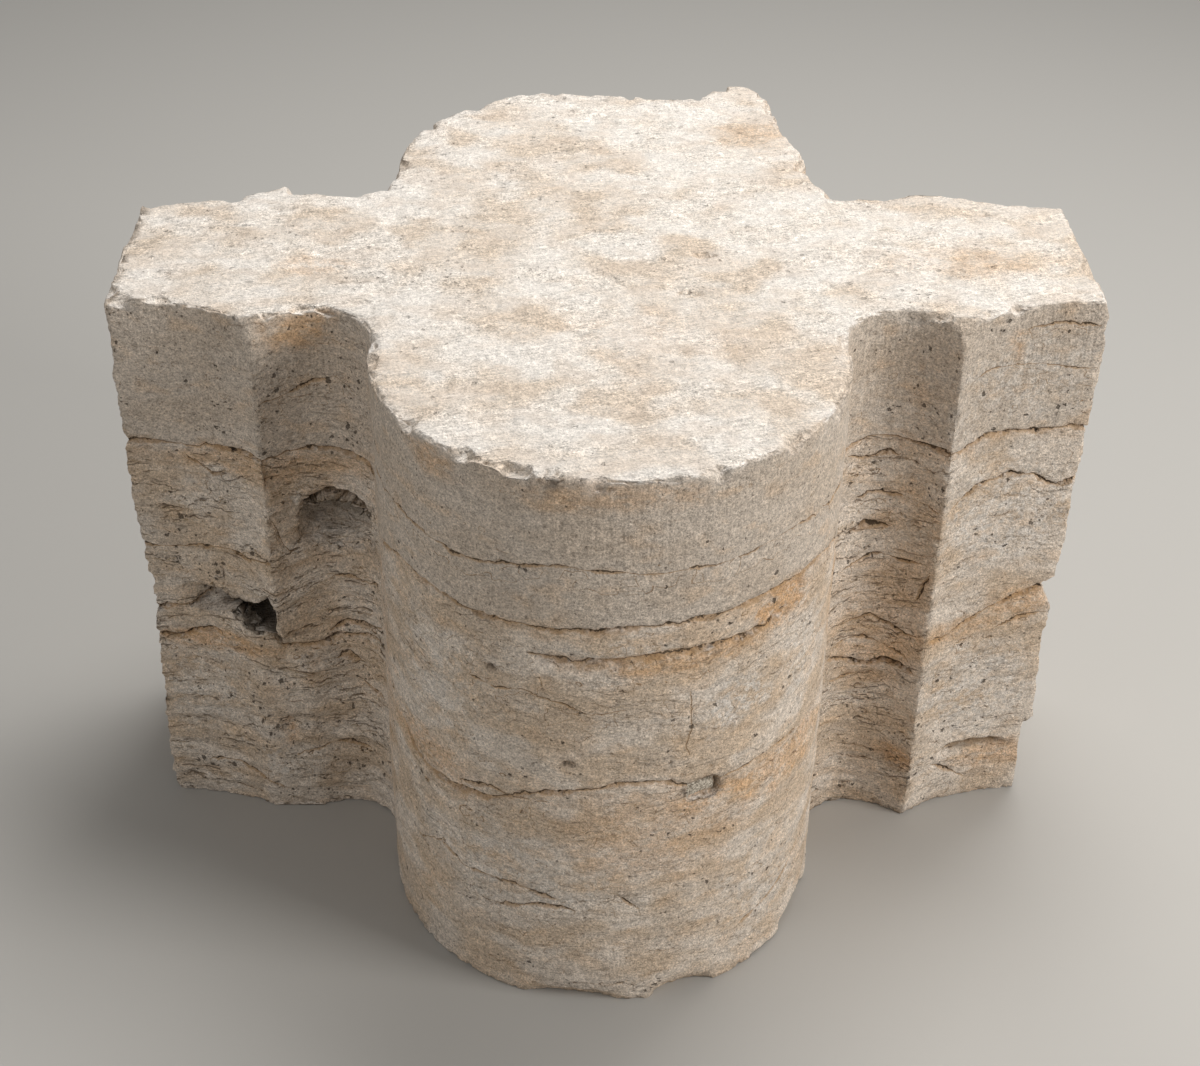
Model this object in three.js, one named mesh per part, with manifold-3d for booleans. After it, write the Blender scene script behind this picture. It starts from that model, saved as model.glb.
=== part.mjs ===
// Pier drum: one block of pale, wavy-bedded travertine, worked to a cross-shaped plan.
// Two attached half-columns stand back to back on a short length of wall. Each arm of the wall has, on
// both faces, a deep hollow beside the column, a sharp arris, and a wide shallow hollow that runs out to
// the arm's end. The rear column was never finished: its back is a rough break and one corner was left
// square. The damage that shows is cut into the block: arm ends split along the beds, chipped and broken
// arrises, two cavities, a small square socket and spalls along the lower edge.
// Units are millimetres, +Z is up, and the origin is at the centre of the underside. The finished
// column faces -Y.

import * as THREE from "three";
import { mergeVertices } from "three/addons/utils/BufferGeometryUtils.js";
import Module from "manifold-3d";

const wasm = await Module();
wasm.setup();

// Driving dimensions of the block
const DRUM_HEIGHT = 420; // bed joint to bed joint
const COLUMN_RADIUS = 150; // of both half-columns
const COLUMN_STILT = 14; // straight stretch of each column's side, between its half round and the hollow

// The arms, from the column outwards
const ARRIS_HALF = 103; // half the arm's thickness, across the arrises
const ARRIS_FROM_COLUMN = 78; // from the column's side to the arris, along the arm
const HOLLOW_DEPTH = 18; // of the deep hollow beside the column, below the arris
const HOLLOW_CORNER = 36; // radius of the deep hollow where it turns into the column's side
const END_FROM_ARRIS = 100; // from the arris to the furthest point of the arm's end
const END_DEPTH = 33; // how far the arm's face at its end lies below the arris
const SHALLOW_BELLY = 24; // how far past the arris the shallow hollow is fullest
const SHALLOW_PULL = 27; // depth below the arris of the point that the shallow hollow is drawn to

// The unfinished rear column
const CORNER_PROUD = 7; // how far the square corner stands out past the round of the column
const CORNER_LEAN = 15; // how much nearer the middle the corner is than the column's side
const CORNER_ROUND = 54; // length of the worn round on the corner
const LUMP_HALF = 29; // half the width of the lump behind the corner

// The socket in the front of the column, measured down to the mortar that fills it
const SOCKET_TURN = 0.41; // radians round the column from its front, towards +X
const SOCKET_SHARE = 0.43; // height of its middle, as a share of the drum's
const SOCKET_WIDTH = 22;
const SOCKET_HEIGHT = 15;
const SOCKET_DEPTH = 5;

// Chips off the arrises at the top: cut "back" from the arris at the top bed, they run out "run" lower
// down, and "turn" swings them towards the arm's end
const FRONT_LEFT_CHIP = { back: 9, run: 22, turn: -0.1 };
const FRONT_RIGHT_CHIP = { back: 11, run: 16, turn: 0.2 };
const REAR_RIGHT_WEAR = { back: 13, run: 190, turn: 0 };

// The lower part of the front left arris is broken off along a bed. The bed is drawn from the shallow
// hollow to the deep one, as pairs of a distance past the arris and a height, as a share of the drum's
const LOST_ARRIS_BACK = 13; // how far back from the arris the break lies
const LOST_ARRIS_BED = [[34, 0.49], [20, 0.535], [9, 0.425], [-4, 0.392], [-32, 0.38]];

// Cavities: "along" is from the arris towards the arm's end, or from the column's side, and "under" is
// below the arris, or below the floor of the deep hollow. Half-sizes are across, through and up
const ARM_SCOOP = { along: 52, under: 24, share: 0.447, half: [46, 12, 15], turn: [0, -0.3, 0.22] };
const ARM_HOLE = { along: 17, under: 21, share: 0.46, half: [14, 24, 35], turn: [0, -0.5, 0] };
const HOLLOW_ARCH = { along: 32, under: -1, share: 0.595, half: [27, 14, 31], turn: [-0.55, 0, 0] };

// Spalls along the lower edge of the front column: how far round it they are, and their half-sizes
const MIDDLE_SPALL = { round: -0.14, half: [40, 8, 11] };
const RIGHT_SPALL = { round: 0.36, half: [24, 9, 12] };
const SIDE_SPALL = { round: 1.15, half: [30, 9, 15] };

// The broken ends of the arms, as pairs of a height, as a share of the drum's, and how far the stone falls
// short of the arm's full reach there. Each bed has split off at its own line
const LEFT_END = [
  [1, 4.5], [0.975, 2.3], [0.93, 4.2], [0.86, 2], [0.755, 2.8], [0.743, 5.5], [0.73, 2.5], [0.62, 2],
  [0.55, 5], [0.48, 8.5], [0.4, 8.7], [0.38, 6.1], [0.25, 5.8], [0.1, 4.3], [0.015, 4], [0, 9],
];
const RIGHT_END = [
  [1, 4.5], [0.975, 1], [0.88, 0], [0.8, 1], [0.71, 2.5], [0.645, 5], [0.59, 2.5], [0.525, 4.5], [0.475, 7],
  [0.462, 14], [0.43, 10], [0.405, 5], [0.335, 8], [0.24, 5.3], [0.165, 3.5], [0.152, 11], [0, 10.5],
];

// The rough break at the back of the rear column, as pairs of a place across it, as a share of its radius,
// and how far the stone falls short of the column's round back there
const REAR_BREAK = [[-0.5, 16], [-0.24, 7], [-0.15, 13], [-0.02, 9], [0.16, 15], [0.35, 21], [0.6, 12]];

// Fineness of the facets
const FACET = 9; // longest chord on a curve of the plan
const BLOB_DETAIL = 2; // of the icosahedrons that spalls and cavities are cut with
const OVERRUN = 20; // how far a cutter runs out past the face it cuts

// Worked out from the sizes above
const HOLLOW_HALF = ARRIS_HALF - HOLLOW_DEPTH;
const HOLLOW_START = HOLLOW_HALF + HOLLOW_CORNER;
const COLUMN_AXIS = HOLLOW_START + COLUMN_STILT;
const COLUMN_BACK = COLUMN_AXIS + COLUMN_RADIUS;
const ARRIS_REACH = COLUMN_RADIUS + ARRIS_FROM_COLUMN;
const ARM_REACH = ARRIS_REACH + END_FROM_ARRIS;
const shareOfHeight = (share) => share * DRUM_HEIGHT;

// A closed three.js geometry as a solid.
function solidOf(geometry) {
  const bare = geometry.clone();
  bare.deleteAttribute("normal");
  bare.deleteAttribute("uv");
  const merged = mergeVertices(bare, 1e-4);
  return new wasm.Manifold(
    new wasm.Mesh({
      numProp: 3,
      vertProperties: new Float32Array(merged.attributes.position.array),
      triVerts: new Uint32Array(merged.index.array),
    }),
  );
}

// A solid as a three.js geometry, with flat facets.
function geometryOf(solid) {
  const mesh = solid.getMesh();
  const geometry = new THREE.BufferGeometry();
  geometry.setAttribute("position", new THREE.BufferAttribute(mesh.vertProperties, 3));
  geometry.setIndex(new THREE.BufferAttribute(mesh.triVerts, 1));
  const flat = geometry.toNonIndexed();
  flat.computeVertexNormals();
  return flat;
}

// The points of a path, with chords no longer than FACET on its curves.
function pointsOf(path) {
  return path.curves.flatMap((curve) => {
    const straight = curve instanceof THREE.LineCurve;
    const parts = straight ? 1 : Math.max(3, Math.ceil(curve.getLength() / FACET));
    return Array.from({ length: parts }, (_, i) => curve.getPoint(i / parts));
  });
}

// A prism over a plan, from one height to another.
function prism(points, bottom, top) {
  const geometry = new THREE.ExtrudeGeometry(new THREE.Shape(points), {
    depth: top - bottom,
    bevelEnabled: false,
  });
  geometry.translate(0, 0, bottom);
  return solidOf(geometry);
}

// One quarter of the plan, from the front of the column at X = 0 to the middle of the arm's end.
function quarterPlan() {
  const path = new THREE.Path();
  path.absarc(0, -COLUMN_AXIS, COLUMN_RADIUS, -Math.PI / 2, 0, false);
  path.lineTo(COLUMN_RADIUS, -HOLLOW_START);
  path.absarc(COLUMN_RADIUS + HOLLOW_CORNER, -HOLLOW_START, HOLLOW_CORNER, Math.PI, Math.PI / 2, true);
  path.quadraticCurveTo(
    (COLUMN_RADIUS + HOLLOW_CORNER + ARRIS_REACH) / 2,
    -HOLLOW_HALF,
    ARRIS_REACH,
    -ARRIS_HALF,
  );
  path.quadraticCurveTo(
    ARRIS_REACH + SHALLOW_BELLY,
    -(ARRIS_HALF - SHALLOW_PULL),
    ARM_REACH,
    -(ARRIS_HALF - END_DEPTH),
  );
  path.lineTo(ARM_REACH, 0);
  return pointsOf(path);
}

// The whole plan: the quarter, turned over each axis in turn.
function fullPlan() {
  const quarter = quarterPlan();
  const turned = (sx, sy) => quarter.map((p) => new THREE.Vector2(sx * p.x, sy * p.y));
  const end = (sx) => new THREE.Vector2(sx * ARM_REACH, 0);
  return [
    ...turned(1, -1).reverse().slice(0, -1),
    ...turned(-1, -1),
    end(-1),
    ...turned(-1, 1).reverse().slice(0, -1),
    ...turned(1, 1),
    end(1),
  ].reverse();
}

// All that the rear column lacks behind its rough break.
function behindBreak() {
  const side = COLUMN_RADIUS + OVERRUN;
  const broken = REAR_BREAK.map(([share, short]) => [share * COLUMN_RADIUS, COLUMN_BACK - short]);
  const outline = [
    [-side, broken.at(0)[1]],
    ...broken,
    [side, broken.at(-1)[1]],
    [side, COLUMN_BACK + OVERRUN],
    [-side, COLUMN_BACK + OVERRUN],
  ];
  const points = outline.map(([x, y]) => new THREE.Vector2(x, y));
  return prism(points, -OVERRUN, DRUM_HEIGHT + OVERRUN);
}

// The rear column's corner that was left square, and the lump that stands out behind it.
function squareCorner() {
  const edge = COLUMN_RADIUS - CORNER_LEAN;
  const tip = edge - LUMP_HALF;
  const reach = COLUMN_BACK + CORNER_PROUD;
  const path = new THREE.Path();
  path.moveTo(0, 0);
  path.lineTo(COLUMN_RADIUS, HOLLOW_START);
  path.lineTo(edge, reach - CORNER_ROUND);
  path.quadraticCurveTo(edge, reach, tip, reach);
  path.quadraticCurveTo(tip - LUMP_HALF / 2, reach, tip - LUMP_HALF, reach - LUMP_HALF);
  path.lineTo(0, reach - CORNER_ROUND);
  path.lineTo(0, 0);
  return prism(pointsOf(path), 0, DRUM_HEIGHT);
}

// An upright slab over an outline in X and Z, from one Y to another.
function slab(outline, fromY, toY) {
  const shape = new THREE.Shape(outline.map(([x, z]) => new THREE.Vector2(x, z)));
  const geometry = new THREE.ExtrudeGeometry(shape, { depth: toY - fromY, bevelEnabled: false });
  geometry.rotateX(Math.PI / 2);
  geometry.translate(0, toY, 0);
  return solidOf(geometry);
}

// The block's front elevation, with the broken ends of both arms, right through the block.
function elevation() {
  const end = (profile, sx) => {
    return profile.map(([share, short]) => [sx * (ARM_REACH - short), shareOfHeight(share)]);
  };
  const outline = [...end(LEFT_END, -1), ...end(RIGHT_END, 1).reverse()];
  const depth = COLUMN_BACK + CORNER_PROUD + OVERRUN;
  return slab(outline, -depth, depth);
}

// A flat chip off an arris where it meets the top. sx and sy say which arris. The cutter is a box whose
// lower face lies in the plane of the chip.
function arrisChip(sx, sy, { back, run, turn }) {
  const outward = new THREE.Vector3(sx * Math.sin(turn), sy * Math.cos(turn), 0);
  const normal = outward.multiplyScalar(run).add(new THREE.Vector3(0, 0, back)).normalize();
  const level = new THREE.Vector3(0, 0, 1).cross(normal).normalize();
  const upward = normal.clone().cross(level);
  const width = 2 * (ARRIS_FROM_COLUMN - HOLLOW_CORNER);
  const foot = new THREE.Vector3(sx * ARRIS_REACH, sy * ARRIS_HALF, DRUM_HEIGHT - run);
  const centre = foot.addScaledVector(normal, width / 2);
  const geometry = new THREE.BoxGeometry(width, 2 * (run + back + OVERRUN), width);
  geometry.applyMatrix4(new THREE.Matrix4().makeBasis(level, upward, normal).setPosition(centre));
  return solidOf(geometry);
}

// The stretch of the front left arris that broke away below a slanting bed.
function lostArris() {
  const bed = LOST_ARRIS_BED.map(([past, share]) => [-(ARRIS_REACH + past), shareOfHeight(share)]);
  const outline = [...bed, [bed.at(-1)[0], -OVERRUN], [bed.at(0)[0], -OVERRUN]];
  return slab(outline.reverse(), -(ARRIS_HALF + OVERRUN), -(ARRIS_HALF - LOST_ARRIS_BACK));
}

// A rounded, faceted cutter with half-sizes along its own axes, turned and put in its place.
function blob([x, y, z], [halfX, halfY, halfZ], [turnX, turnY, turnZ]) {
  const geometry = new THREE.IcosahedronGeometry(1, BLOB_DETAIL);
  const place = new THREE.Matrix4().compose(
    new THREE.Vector3(x, y, z),
    new THREE.Quaternion().setFromEuler(new THREE.Euler(turnX, turnY, turnZ)),
    new THREE.Vector3(halfX, halfY, halfZ),
  );
  return solidOf(geometry.applyMatrix4(place));
}

// A cavity in the front of the left arm, placed from a distance along the arm and a depth of its face.
function cavity({ along, under, share, half, turn }, fromX, faceY) {
  return blob([-(fromX + along), -(faceY - under), shareOfHeight(share)], half, turn);
}

// A point on the face of the front column, turned from its front towards +X.
function onColumn(round) {
  return [COLUMN_RADIUS * Math.sin(round), -COLUMN_AXIS - COLUMN_RADIUS * Math.cos(round)];
}

// The small square socket in the front of the column.
function socket() {
  const geometry = new THREE.BoxGeometry(SOCKET_WIDTH, 2 * SOCKET_DEPTH, SOCKET_HEIGHT);
  geometry.rotateZ(SOCKET_TURN);
  const [x, y] = onColumn(SOCKET_TURN);
  geometry.translate(x, y, shareOfHeight(SOCKET_SHARE));
  return solidOf(geometry);
}

// A spall off the lower edge of the front column.
function lowerSpall({ round, half }) {
  return blob([...onColumn(round), 0], half, [0, 0, round]);
}

const cuts = [
  arrisChip(-1, -1, FRONT_LEFT_CHIP),
  arrisChip(1, -1, FRONT_RIGHT_CHIP),
  arrisChip(1, 1, REAR_RIGHT_WEAR),
  lostArris(),
  cavity(ARM_SCOOP, ARRIS_REACH, ARRIS_HALF),
  cavity(ARM_HOLE, ARRIS_REACH, ARRIS_HALF),
  cavity(HOLLOW_ARCH, COLUMN_RADIUS, HOLLOW_HALF),
  socket(),
  lowerSpall(MIDDLE_SPALL),
  lowerSpall(RIGHT_SPALL),
  lowerSpall(SIDE_SPALL),
];
const block = prism(fullPlan(), 0, DRUM_HEIGHT).subtract(behindBreak()).add(squareCorner());
const stone = cuts.reduce((rest, cut) => rest.subtract(cut), block.intersect(elevation()));

const group = new THREE.Group();
const travertine = new THREE.MeshStandardMaterial({ color: 0xc9bba6, roughness: 0.92, metalness: 0 });
const drum = new THREE.Mesh(geometryOf(stone), travertine);
drum.name = "column_drum";
group.add(drum);

export default group;
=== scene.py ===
"""Pier drum of pale, wavy-bedded travertine, weathered and chipped, on a plain studio floor.

The drum keeps the form of its solid. Its skin is a fine mesh of its own, with the split beds, cracks,
pores, worn arrises and rough breaks of the stone raised or sunk in it.
"""

import itertools
import math
from collections import namedtuple

import bpy
import numpy as np
from mathutils import Matrix, Vector
from mathutils.kdtree import KDTree


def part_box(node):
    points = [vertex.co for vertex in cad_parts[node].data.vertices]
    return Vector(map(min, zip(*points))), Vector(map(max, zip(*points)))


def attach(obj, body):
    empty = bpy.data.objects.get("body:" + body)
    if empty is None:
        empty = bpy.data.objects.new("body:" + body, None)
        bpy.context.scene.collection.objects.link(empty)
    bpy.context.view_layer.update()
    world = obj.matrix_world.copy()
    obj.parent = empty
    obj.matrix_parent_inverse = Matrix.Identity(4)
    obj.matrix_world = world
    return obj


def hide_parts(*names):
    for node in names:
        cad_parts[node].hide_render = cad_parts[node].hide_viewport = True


bl_info = {
    "name": "Travertine pier drum",
    "version": (1, 0, 0),
    "blender": (4, 5, 0),
    "location": "View3D > Sidebar > Pier drum",
    "description": "Builds a weathered travertine pier drum and the stage it stands on",
    "category": "Object",
}

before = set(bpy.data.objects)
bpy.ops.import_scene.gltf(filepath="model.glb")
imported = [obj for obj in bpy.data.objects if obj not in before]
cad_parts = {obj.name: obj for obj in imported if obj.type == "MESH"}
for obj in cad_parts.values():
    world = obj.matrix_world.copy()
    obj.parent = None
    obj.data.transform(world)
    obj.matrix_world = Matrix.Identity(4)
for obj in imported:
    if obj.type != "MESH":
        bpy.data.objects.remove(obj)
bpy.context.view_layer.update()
DRUM_NODE = "column_drum"
LOW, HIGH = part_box(DRUM_NODE)
MM = 0.001

# Where the photograph was taken from. The focal length is in pixels of a 1200 pixel wide image
PHOTO_WIDTH_PX = 1200
FOCAL_PX = 1976.0
SENSOR_MM = 36.0
CAMERA_AT_MM = (-31.0, -1201.2, 1020.8)
CAMERA_PITCH = 34.726  # degrees down from level
CAMERA_YAW = 1.419  # degrees to the right of +Y
CAMERA_ROLL = 0.887  # degrees clockwise

# Marks of the stone, with lengths in mm. A bed or a crack has its line and the width and depth of its
# opening. A bed also has how far the stone below it is worn back, and how far down that wear reaches. An
# area, a hollow or a spot of colour is an oval with a middle and half-sizes. A hollow's floor runs out
# downwards where its flatness is 0, and is even where it is 1
Bed = namedtuple("Bed", "line width depth worn reach")
Crack = namedtuple("Crack", "line width depth")
Area = namedtuple("Area", "at half")
Dent = namedtuple("Dent", "at half depth flat", defaults=[1.0])
Spot = namedtuple("Spot", "at half strength")

# Places on the upright faces, in mm. The first number is the way round the outline from the front of the
# column, positive to the right, and the second is the height above the underside
COLUMN_SIDE = 250
SOCKET = Area((61.5, 180.6), (11, 7.5))
TOOLED_ABOVE = 352  # the claw chisel's marks show on the column above this
PLAN_CUT_AT = 0.79  # of the drum's height, where the plan's outline is taken, above the cavities

# The main bed, all the way round. The stone above it is grey and hard, and below it tan and softer
MAIN_BED = [
    (-1100, 318), (-900, 321), (-800, 314), (-700, 321), (-620, 313), (-530, 317), (-460, 314),
    (-428, 311), (-410, 312), (-369, 316), (-346, 315), (-308, 316), (-272, 311), (-240, 297),
    (-215, 300), (-196, 305), (-160, 315), (-132, 314), (-87, 311), (-27, 313), (19, 317), (101, 318),
    (150, 318), (190, 309), (225, 290), (250, 302), (278, 322), (297, 326), (322, 325), (346, 321),
    (363, 320), (384, 326), (435, 325), (470, 323), (530, 320), (620, 326), (700, 318), (800, 323),
    (900, 313), (1100, 318),
]

# Beds that have opened into cracks
BEDS = [
    Bed(MAIN_BED, 1.6, 4, 2.0, 16),
    # A fine bed near the top of the column
    Bed([(-215, 358), (-178, 355), (-130, 352), (-99, 348), (-73, 353), (-32, 360), (16, 356), (78, 355),
         (117, 359), (182, 352), (235, 345)], 0.8, 1.6, 0.3, 8),
    # The broken line just below the main bed, on the column
    Bed([(-50, 291), (-38, 289), (-24, 288), (0, 291), (28, 296), (70, 294), (101, 293),
         (125, 297)], 2.4, 5, 2.2, 12),
    Bed([(-96, 259), (-75, 258), (-56, 263), (-31, 257), (-13, 250), (8, 254)], 0.7, 1.4, 0.3, 6),
    # The lower bed of the column
    Bed([(-190, 200), (-170, 182), (-155, 169), (-136, 161), (-109, 161), (-76, 168),
         (-48, 181)], 2.6, 5, 2.2, 12),
    Bed([(-48, 181), (6, 195), (28, 195), (42, 191), (73, 184), (103, 187), (137, 186), (185, 184),
         (230, 196)], 1.7, 4, 2.6, 20),
    Bed([(-103, 171), (-79, 177), (-62, 172), (-50, 176)], 1.2, 2.5, 0.5, 5),
    Bed([(-160, 92), (-148, 89), (-124, 104), (-103, 94), (-66, 96), (-31, 91)], 1.1, 2.6, 0.6, 8),
    Bed([(-76, 73), (-58, 80), (-41, 85), (-20, 84)], 1.4, 2.6, 0.5, 7),
    Bed([(2, 104), (10, 96), (24, 84)], 0.9, 1.8, 0.2, 4),
    Bed([(95, 40), (130, 52), (165, 70)], 1.2, 2.5, 0.9, 10),
    # The right arm
    Bed([(280, 312), (284, 313), (293, 309), (310, 313), (318, 311)], 1.7, 4, 0.6, 6),
    Bed([(286, 276), (300, 282), (317, 280), (338, 277), (350, 273)], 0.8, 1.5, 0.4, 8),
    Bed([(286, 250), (298, 256), (318, 253)], 2.2, 5, 0.6, 8),
    Bed([(282, 219), (294, 224), (311, 231), (326, 227), (348, 228)], 0.8, 1.6, 0.4, 8),
    Bed([(284, 168), (291, 173), (309, 177), (317, 173), (336, 165), (346, 163)], 1.2, 2.6, 0.8, 8),
    Bed([(284, 154), (307, 158), (315, 155), (328, 149), (346, 141)], 0.8, 1.8, 0.4, 5),
    Bed([(278, 142), (290, 138), (311, 133), (321, 139), (334, 138), (347, 132)], 1.9, 4.5, 0.9, 8),
    Bed([(280, 121), (300, 122), (314, 125), (330, 114)], 0.9, 2, 0.5, 8),
    Bed([(366, 373), (383, 379), (419, 376), (463, 368)], 0.8, 1.5, 0.2, 6),
    Bed([(400, 404), (430, 406), (462, 402)], 0.8, 1.5, 0.2, 6),
    Bed([(360, 274), (385, 287), (407, 293), (424, 289), (442, 278), (456, 284),
         (466, 284)], 1.4, 3.5, 0.4, 8),
    Bed([(354, 163), (370, 160), (384, 166), (406, 177), (422, 184), (446, 193),
         (466, 197)], 1.5, 3.5, 1.6, 16),
    Bed([(372, 147), (390, 154), (412, 158), (430, 166), (452, 168)], 0.8, 2, 0.4, 6),
    Bed([(386, 50), (410, 52), (434, 50)], 2.4, 4, 1.2, 12),
    Bed([(374, 40), (390, 30), (408, 17)], 1.6, 3, 0.4, 8),
    # The left arm
    Bed([(-417, 307), (-404, 296), (-397, 291), (-386, 296)], 1.0, 2.4, 0.3, 5),
    Bed([(-466, 228), (-440, 226), (-412, 229), (-389, 233), (-375, 227),
         (-352, 232)], 1.1, 2.8, 0.8, 10),
    Bed([(-349, 268), (-345, 258), (-341, 244), (-336, 237), (-330, 238)], 1.1, 2.8, 0.5, 4),
    Bed([(-466, 176), (-447, 173), (-424, 176), (-416, 180), (-407, 190), (-393, 191)], 1.6, 4, 1.5, 10),
    Bed([(-466, 148), (-450, 147), (-432, 148), (-418, 157), (-409, 157), (-402, 153)], 1.8, 4.5, 0.9, 8),
    Bed([(-371, 165), (-365, 164), (-360, 155), (-344, 153), (-322, 153), (-300, 158),
         (-272, 163)], 2.2, 5, 1.8, 14),
    Bed([(-314, 160), (-302, 170), (-285, 170), (-270, 174)], 1.8, 4.5, 0.5, 5),
    Bed([(-315, 207), (-305, 210), (-295, 212), (-288, 208), (-270, 214)], 1.1, 2.6, 0.6, 6),
    Bed([(-312, 136), (-303, 140), (-293, 135)], 3.0, 5, 0.6, 7),
    Bed([(-297, 118), (-285, 111), (-277, 107)], 1.8, 4, 0.6, 6),
    Bed([(-343, 49), (-325, 56), (-310, 59), (-290, 54)], 1.2, 3, 0.6, 8),
    Bed([(-352, 357), (-331, 360), (-310, 368), (-296, 370), (-284, 362)], 0.9, 2.2, 0.4, 6),
    Bed([(-425, 33), (-402, 36), (-385, 27), (-362, 14)], 1.2, 3, 1.0, 8),
    # Round the back
    Bed([(470, 197), (560, 190), (640, 178), (760, 185), (900, 176), (1100, 182)], 1.6, 4, 1.6, 16),
    Bed([(-1100, 182), (-900, 190), (-760, 174), (-640, 162), (-540, 154), (-466, 149)], 1.6, 4, 1.6, 16),
]
BED_SETS = 3  # beds that lie close together are put in different sets
SET_APART = 24  # mm
FAR = 60.0  # the largest distance to a crack that is told apart, in half-widths of the crack

# Cracks that run up and down the faces. Each line goes upwards
UPRIGHT_CRACKS = [
    Crack([(53, 209), (49, 222), (52, 238), (50, 264)], 0.4, 0.6),
    Crack([(174, 298), (179, 305), (187, 312), (196, 323)], 1.8, 4),
    Crack([(340, 196), (344, 210), (349, 222)], 1.0, 2.5),
]

# Hollows worn or broken into the upright faces
DENTS = [
    Dent((-302, 262), (27, 21), 11, 0.0),  # the arched recess of the left hollow
    Dent((-353, 74), (13, 15), 4, 0.4),
    Dent((-436, 16), (9, 4), 5, 0.6),
    Dent((-396, 178), (24, 12), 7, 0.0),  # the roof of the arm's cavity
    Dent((-386, 181), (6, 8), 8, 1.0),  # its dark back, in three steps
    Dent((-379, 173), (6, 8), 9, 1.0),
    Dent((-373, 166), (5, 5), 6, 1.0),
    Dent((-26, 209), (4.5, 2.4), 8, 1.0),
    Dent((-76, 273), (3.5, 2.6), 4, 1.0),
    Dent((-20, 288), (30, 6), 3, 0.3),
    Dent((118, 304), (24, 13), 3.2, 0.5),
    Dent((140, 168), (52, 15), 2.8, 0.2),
    Dent((410, 45), (30, 6), 3.5, 0.2),
    Dent((340, 50), (15, 9), 1.8, 0.4),
    Dent((-36, 421), (7, 7), 5, 0.5),
]

# The left arm's cavity, and where the stone above it is brought out to the face, so that its roof is low
CAVITY = Area((-366, 175), (44, 26))
FILLED = [
    Area((-406, 214), (30, 23)),
    Area((-384, 205), (22, 22)),
]

# Old breaks that are worn soft
SOFT_BREAKS = [
    Area((-372, 182), (26, 40)),
    Area((-303, 248), (32, 34)),
]

# Flakes and pits in the top, with their middles in plan
TOP_DENTS = [
    Dent((-76, 105), (10, 2.5), 2.2), Dent((-94, 226), (24, 2.0), 1.4), Dent((-50, 176), (9, 2.4), 1.6),
    Dent((66, -7), (9, 4.5), 3), Dent((80, -24), (34, 17), 1.3), Dent((53, -60), (10, 5), 2.6),
    Dent((5, 58), (9, 4), 1.4), Dent((46, 239), (16, 5), 1.6), Dent((-230, 62), (7, 2.4), 1.8),
    Dent((-288, -36), (3, 2), 2), Dent((-245, -32), (9, 1.6), 1.3), Dent((266, 59), (4, 3), 2),
    Dent((-127, -214), (16, 7), 2.2), Dent((70, -267), (12, 6), 1.8), Dent((-36, -279), (9, 8), 3.2),
    Dent((100, 232), (36, 16), 1.6),
]

# Rusty stains on the upright faces
STAINS = [
    Spot((118, 303), (34, 18), 0.9), Spot((40, 288), (70, 10), 0.6), Spot((215, 262), (26, 48), 0.55),
    Spot((130, 166), (70, 20), 0.6), Spot((62, 172), (36, 12), 0.7), Spot((225, 130), (26, 60), 0.3),
    Spot((30, 150), (75, 50), 0.35), Spot((-140, 178), (50, 18), 0.5), Spot((-353, 72), (15, 15), 1.0),
    Spot((-318, 405), (28, 16), 0.6), Spot((-410, 148), (50, 11), 0.7), Spot((-350, 304), (110, 12), 0.4),
    Spot((-205, 200), (24, 130), 0.3), Spot((432, 180), (36, 16), 0.6), Spot((385, 164), (40, 12), 0.5),
    Spot((340, 52), (18, 13), 0.6), Spot((430, 36), (36, 18), 0.6), Spot((399, 394), (5, 16), 0.6),
    Spot((0, 408), (70, 12), 0.4), Spot((-118, 408), (22, 12), 0.5), Spot((315, 170), (40, 60), 0.3),
]

# Faint rusty stains on the top, with their middles in plan
TOP_STAINS = [
    Spot((236, -18), (74, 30), 0.3), Spot((-190, -22), (40, 14), 0.4), Spot((120, 190), (50, 40), 0.3),
    Spot((20, -120), (70, 40), 0.2),
]

# Bluish grey patches on the upright faces
GREY_PATCHES = [
    Spot((84, 244), (32, 24), 0.9), Spot((150, 245), (36, 40), 0.6), Spot((-120, 240), (50, 60), 0.5),
    Spot((-60, 110), (90, 40), 0.5), Spot((120, 70), (50, 50), 0.5), Spot((-369, 45), (20, 16), 0.7),
    Spot((-322, 278), (15, 7), 0.9), Spot((330, 300), (60, 100), 0.4), Spot((-420, 100), (46, 50), 0.5),
    Spot((400, 110), (50, 40), 0.4), Spot((410, 260), (60, 56), 0.8), Spot((5, 300), (40, 10), 0.6),
    Spot((405, 105), (55, 48), 0.7), Spot((410, 365), (60, 40), 0.6),
]

# Painted shade under the roofs of the cavities, in the deepest breaks and round the socket
PAINTED_SHADE_SPOTS = [
    Spot((-398, 184), (22, 8), 0.7), Spot((-387, 180), (8, 10), 1.0), Spot((-379, 172), (7, 10), 1.0),
    Spot((-374, 165), (5, 5), 1.0), Spot((-303, 266), (32, 13), 0.7), Spot((-300, 256), (26, 18), 0.4),
    Spot((-36, 415), (5, 6), 0.6), Spot((-26, 209), (4.5, 2.4), 1.0), Spot((-76, 273), (4, 3), 0.9),
    Spot((410, 48), (30, 4), 0.6), Spot((72, 179), (3, 8), 0.9), Spot((62, 189), (12, 1.8), 0.9),
    Spot((49.5, 180), (1.8, 8), 0.9), Spot((62, 172.5), (12, 1.8), 0.9),
]

SEED = 11
TRIANGLE_LIMIT = 198000


def smooth(low, high, value):
    """0 below low, 1 above high, and a smooth step between them."""
    t = np.clip((value - low) / (high - low), 0.0, 1.0)
    return t * t * (3.0 - 2.0 * t)


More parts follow.
